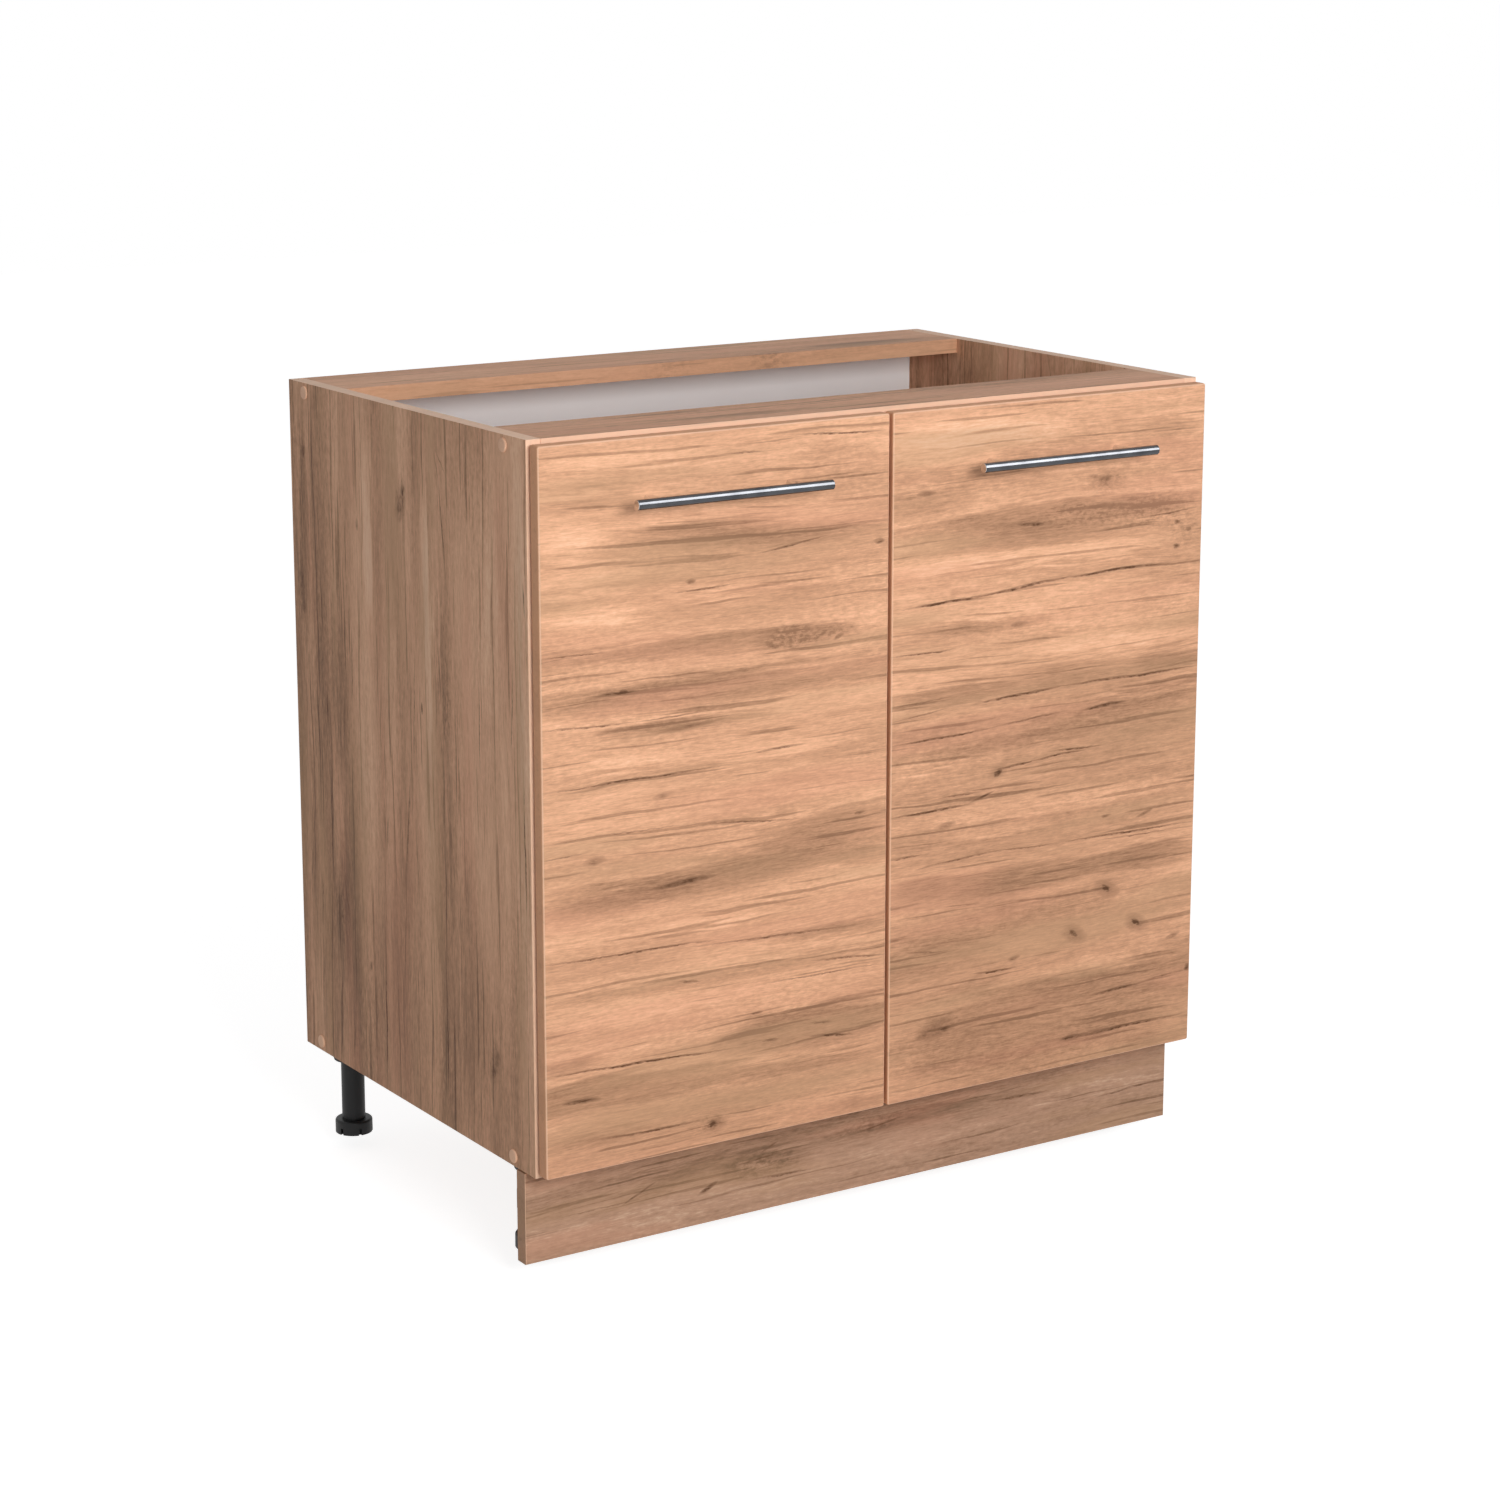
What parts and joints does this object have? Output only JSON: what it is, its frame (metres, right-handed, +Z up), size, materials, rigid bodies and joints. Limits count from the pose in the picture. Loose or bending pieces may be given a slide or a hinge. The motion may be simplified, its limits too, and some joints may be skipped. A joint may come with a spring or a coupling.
{
  "type": "kitchen base cabinet",
  "caption": "Kitchen base cabinet in oak decor with a pair of hinged doors, bar handles, open top with rails, pull-off plinth and height-adjustable legs.",
  "frame": {"origin": "middle of the overall box, on the floor", "axes": "+X to the right as seen from the front, +Y to the back, +Z up; the doors face -Y"},
  "size_m": [0.8036, 0.553, 0.82],
  "materials": {
    "door_decor": "satin oak decor, grain across",
    "plinth_decor": "satin oak decor, grain across",
    "side_decor": "satin oak decor, grain upright",
    "board_decor": "satin oak decor, grain across",
    "hardboard": "pale matt coat",
    "chrome": "polished",
    "black_plastic": "matt",
    "cap_plastic": "satin",
    "steel": "zinc coated"
  },
  "bodies": {
    "carcass": {"back_panel": "hardboard", "back_top_rail": "board_decor", "bottom_panel": "board_decor", "carcass_screws": "steel", "front_top_rail": "board_decor", "hinge_arm_left_lower": "steel", "hinge_arm_left_upper": "steel", "hinge_arm_right_lower": "steel", "hinge_arm_right_upper": "steel", "hinge_arm_screws": "steel", "hinge_plate_left_lower": "steel", "hinge_plate_left_upper": "steel", "hinge_plate_right_lower": "steel", "hinge_plate_right_upper": "steel", "hinge_plate_screws": "steel", "left_side_panel": "side_decor", "leg_screws": "steel", "leg_socket_back_left": "black_plastic", "leg_socket_back_right": "black_plastic", "leg_socket_front_left": "black_plastic", "leg_socket_front_right": "black_plastic", "leg_tube_back_left": "black_plastic", "leg_tube_back_right": "black_plastic", "leg_tube_front_left": "black_plastic", "leg_tube_front_right": "black_plastic", "right_side_panel": "side_decor", "screw_caps": "cap_plastic", "shelf": "board_decor", "shelf_pins": "steel"},
    "foot_back_left": {"foot_back_left": "black_plastic"},
    "foot_back_right": {"foot_back_right": "black_plastic"},
    "foot_front_left": {"foot_front_left": "black_plastic"},
    "foot_front_right": {"foot_front_right": "black_plastic"},
    "left_door": {"hinge_cup_left_lower": "steel", "hinge_cup_left_upper": "steel", "left_cup_screws": "steel", "left_door": "door_decor", "left_handle_bar": "chrome", "left_handle_posts": "chrome", "left_handle_screws": "steel", "left_hinge_pins": "steel"},
    "right_door": {"hinge_cup_right_lower": "steel", "hinge_cup_right_upper": "steel", "right_cup_screws": "steel", "right_door": "door_decor", "right_handle_bar": "chrome", "right_handle_posts": "chrome", "right_handle_screws": "steel", "right_hinge_pins": "steel"},
    "plinth": {"plinth_clip_left": "black_plastic", "plinth_clip_right": "black_plastic", "plinth_clip_screws": "steel", "plinth_panel": "plinth_decor"}
  },
  "joints": [
    {"name": "left_door_hinge", "type": "hinge", "parent": "carcass", "child": "left_door", "pos_m": [-0.3905, -0.234, 0.4595], "axis": [0, 0, -1], "range_deg": [0, 95]},
    {"name": "right_door_hinge", "type": "hinge", "parent": "carcass", "child": "right_door", "pos_m": [0.3905, -0.234, 0.4595], "axis": [0, 0, 1], "range_deg": [0, 95]},
    {"name": "plinth_pull", "type": "slide", "parent": "carcass", "child": "plinth", "axis": [0, -1, 0], "range_m": [0, 0.06]},
    {"name": "front_left_foot_height", "type": "slide", "parent": "carcass", "child": "foot_front_left", "axis": [0, 0, -1], "range_m": [0, 0.015]},
    {"name": "front_right_foot_height", "type": "slide", "parent": "carcass", "child": "foot_front_right", "axis": [0, 0, -1], "range_m": [0, 0.015]},
    {"name": "back_left_foot_height", "type": "slide", "parent": "carcass", "child": "foot_back_left", "axis": [0, 0, -1], "range_m": [0, 0.015]},
    {"name": "back_right_foot_height", "type": "slide", "parent": "carcass", "child": "foot_back_right", "axis": [0, 0, -1], "range_m": [0, 0.015]}
  ]
}
